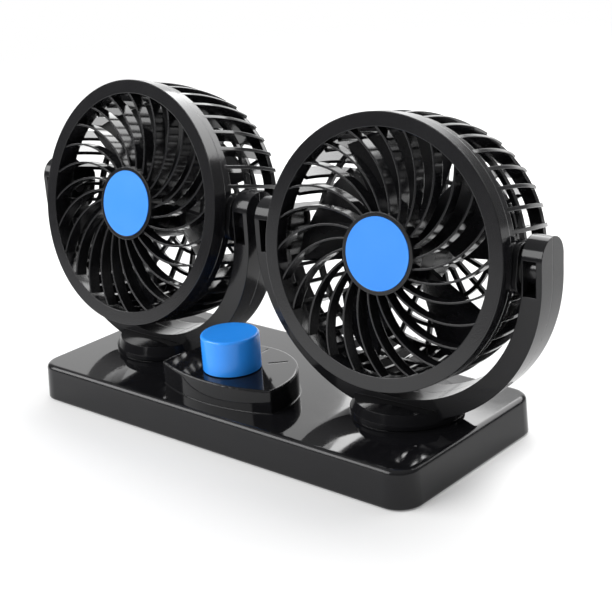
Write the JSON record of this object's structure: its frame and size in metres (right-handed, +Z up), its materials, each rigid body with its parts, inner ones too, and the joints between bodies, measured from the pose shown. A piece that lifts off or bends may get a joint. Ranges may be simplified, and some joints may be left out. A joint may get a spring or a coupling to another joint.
{
  "type": "dashboard fan",
  "caption": "Vehicle dashboard fan: caged fan heads that swivel and tilt in U-shaped yokes on a flat stick-down base, with a rotary speed knob on a raised console between them.",
  "frame": {"origin": "middle of the adhesive pad's underside, which sits on the dashboard", "axes": "+X along the base from the left fan to the right fan, -Y the way the air is blown, +Z up"},
  "size_m": [0.287, 0.1001, 0.15],
  "materials": {
    "gloss_black": "polished",
    "satin_black": "satin",
    "blue": "satin gloss",
    "rubber_black": "matte",
    "foam_grey": "matte foam tape",
    "steel": "zinc plated",
    "ferrite": "matte",
    "brass": "sintered",
    "nylon": "matte"
  },
  "bodies": {
    "base": {"base_shell": "gloss_black", "base_plate": "satin_black", "mounting_pad": "foam_grey", "plate_screws": "steel", "cord_grommet": "rubber_black", "rotary_switch": "satin_black", "switch_nut": "steel", "swivel_washer_left": "nylon", "swivel_washer_right": "nylon"},
    "knob": {"control_knob": "blue", "switch_spindle": "steel"},
    "yoke_left": {"yoke_front_left": "satin_black", "yoke_rear_left": "satin_black", "yoke_screws_left": "steel", "swivel_retainer_left": "satin_black", "retainer_screws_left": "steel"},
    "head_left": {"front_grille_left": "satin_black", "hub_badge_left": "blue", "rear_basket_left": "satin_black", "motor_can_left": "steel", "motor_end_cap_left": "satin_black", "motor_magnets_left": "ferrite", "motor_bush_left": "brass", "motor_screws_left": "steel", "tilt_barrels_left": "satin_black", "tilt_washers_left": "nylon", "pivot_screws_left": "steel"},
    "rotor_left": {"fan_rotor_left": "satin_black", "motor_shaft_left": "steel", "motor_armature_left": "ferrite"},
    "yoke_right": {"yoke_front_right": "satin_black", "yoke_rear_right": "satin_black", "yoke_screws_right": "steel", "swivel_retainer_right": "satin_black", "retainer_screws_right": "steel"},
    "head_right": {"front_grille_right": "satin_black", "hub_badge_right": "blue", "rear_basket_right": "satin_black", "motor_can_right": "steel", "motor_end_cap_right": "satin_black", "motor_magnets_right": "ferrite", "motor_bush_right": "brass", "motor_screws_right": "steel", "tilt_barrels_right": "satin_black", "tilt_washers_right": "nylon", "pivot_screws_right": "steel"},
    "rotor_right": {"fan_rotor_right": "satin_black", "motor_shaft_right": "steel", "motor_armature_right": "ferrite"}
  },
  "joints": [
    {"name": "knob_turn", "type": "hinge", "parent": "base", "child": "knob", "pos_m": [-0.0055, -0.021, 0.0283], "axis": [0, 0, 1], "range_deg": [-90, 0]},
    {"name": "swivel_left", "type": "hinge", "parent": "base", "child": "yoke_left", "pos_m": [-0.0734, 0.004, 0.0177], "axis": [0, 0, 1], "range_deg": [-170, 170]},
    {"name": "tilt_left", "type": "hinge", "parent": "yoke_left", "child": "head_left", "pos_m": [-0.0734, 0.004, 0.09065], "axis": [-0.9999, 0.0113, 0], "range_deg": [-58.2, 31.8]},
    {"name": "spin_left", "type": "hinge", "parent": "head_left", "child": "rotor_left", "pos_m": [-0.0734, 0.00382, 0.08987], "axis": [0.011, 0.9735, -0.2284], "continuous": true},
    {"name": "swivel_right", "type": "hinge", "parent": "base", "child": "yoke_right", "pos_m": [0.0734, 0.004, 0.0177], "axis": [0, 0, 1], "range_deg": [-170, 170]},
    {"name": "tilt_right", "type": "hinge", "parent": "yoke_right", "child": "head_right", "pos_m": [0.0734, 0.004, 0.09065], "axis": [-0.9979, -0.0645, 0], "range_deg": [-54.9, 35.1]},
    {"name": "spin_right", "type": "hinge", "parent": "head_right", "child": "rotor_right", "pos_m": [0.07341, 0.00386, 0.08986], "axis": [-0.0636, 0.9831, -0.1719], "continuous": true}
  ]
}
